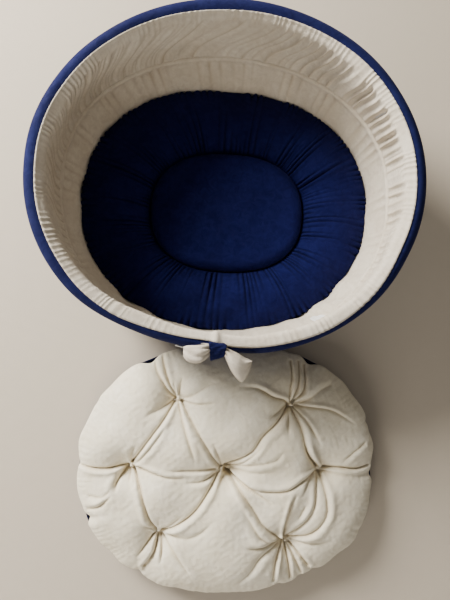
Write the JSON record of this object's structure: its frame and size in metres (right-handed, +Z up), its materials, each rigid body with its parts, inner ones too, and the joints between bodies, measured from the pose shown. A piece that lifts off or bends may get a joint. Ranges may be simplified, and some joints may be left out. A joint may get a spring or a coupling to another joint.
{
  "type": "pet cushion bed",
  "caption": "Oval pet bed with a padded plush-lined wall, a gathered velvet floor, a small bow at its low front, and a loose tufted cushion lying in front of it.",
  "frame": {"origin": "middle of the bed's oval base, on the surface it stands on", "axes": "+Z up; -Y towards the bed's front, where the bow and the loose cushion are; +X along the bed's long side, to the right seen from the front"},
  "size_m": [0.5108, 0.8103, 0.1809],
  "materials": {
    "navy_velvet": "short-pile velvet, soft sheen",
    "navy_base": "matt non-slip woven cloth",
    "cream_plush": "short plush, matt",
    "cream_velvet": "short-pile velvet, soft sheen",
    "wadding": "polyester wadding, matt",
    "thread": "twisted sewing thread",
    "label_cloth": "plain woven tape"
  },
  "bodies": {
    "bed": {"base_cloth": "navy_base", "floor_centre_filling": "wadding", "floor_ring_filling": "wadding", "floor_centre_panel": "navy_velvet", "floor_gathered_ring": "navy_velvet", "wall_padding": "wadding", "outer_wall_cover": "navy_velvet", "lining_lower_band": "cream_plush", "lining_upper_band": "cream_plush", "bow_left_loop": "cream_plush", "bow_right_loop": "cream_plush", "bow_left_backing": "navy_velvet", "bow_right_backing": "navy_velvet", "bow_knot": "navy_velvet", "bow_strap": "navy_velvet", "side_label": "label_cloth"},
    "cushion": {"cushion_top_cover": "cream_velvet", "cushion_underside_cover": "navy_velvet", "cushion_filling": "wadding", "tuft_stitch_1": "thread", "tuft_stitch_2": "thread", "tuft_stitch_3": "thread", "tuft_stitch_4": "thread", "tuft_stitch_5": "thread", "tuft_stitch_6": "thread", "tuft_stitch_7": "thread"}
  },
  "joints": [
    {"name": "cushion_lift", "type": "slide", "parent": "bed", "child": "cushion", "axis": [0, -0.766, 0.6428], "range_m": [0, 0.36]}
  ]
}
